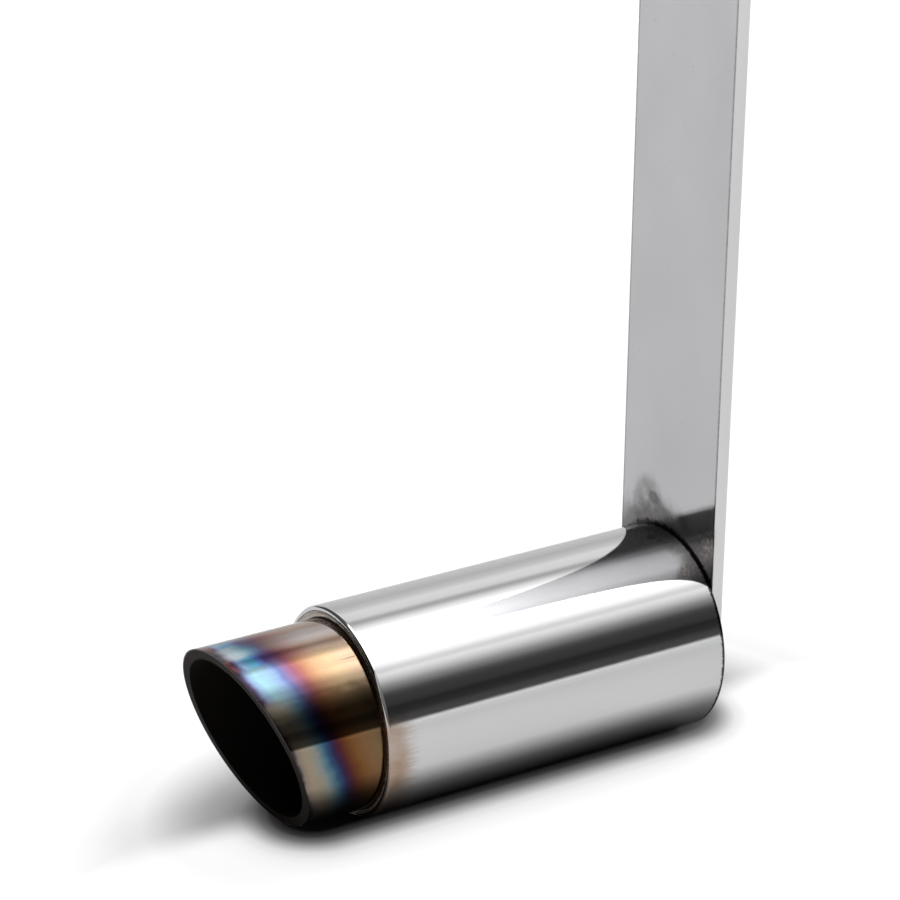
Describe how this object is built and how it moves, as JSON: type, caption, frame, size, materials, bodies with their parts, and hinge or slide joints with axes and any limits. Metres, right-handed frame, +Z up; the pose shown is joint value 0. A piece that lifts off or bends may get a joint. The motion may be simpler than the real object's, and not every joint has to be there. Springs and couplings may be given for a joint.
{
  "type": "scale exhaust",
  "caption": "Dress-up exhaust for a 1/10 scale drift car: round canister, slash-cut heat-blued tip, and a long flat strap to bolt it on by.",
  "frame": {"origin": "where the canister's axis crosses the back face of the strap, the face that is bolted to the car", "axes": "+Z up along the strap, -Y along the canister's axis towards the tip, +X to the right seen from in front of the tip's mouth"},
  "size_m": [0.02, 0.05, 0.1023],
  "materials": {
    "canister_steel": "mirror-polished stainless steel tube with faint polishing lines",
    "tinted_steel": "polished stainless steel, heat-tinted from blue at the cut to gold and bronze, sooty inside",
    "braze": "darkened filler metal",
    "disc_steel": "turned and brushed stainless steel",
    "weld_metal": "rippled weld metal with straw and blue heat tint",
    "strap_steel": "polished stainless steel strip with fine specks and a grey heat stain above the canister"
  },
  "bodies": {
    "root": {"canister_tube": "canister_steel", "tip_tube": "tinted_steel", "tip_braze_ring": "braze", "rear_disc": "disc_steel", "rear_disc_weld": "weld_metal", "mount_strap": "strap_steel", "strap_weld_left": "weld_metal", "strap_weld_right": "weld_metal", "strap_foot_weld": "weld_metal"}
  },
  "joints": []
}
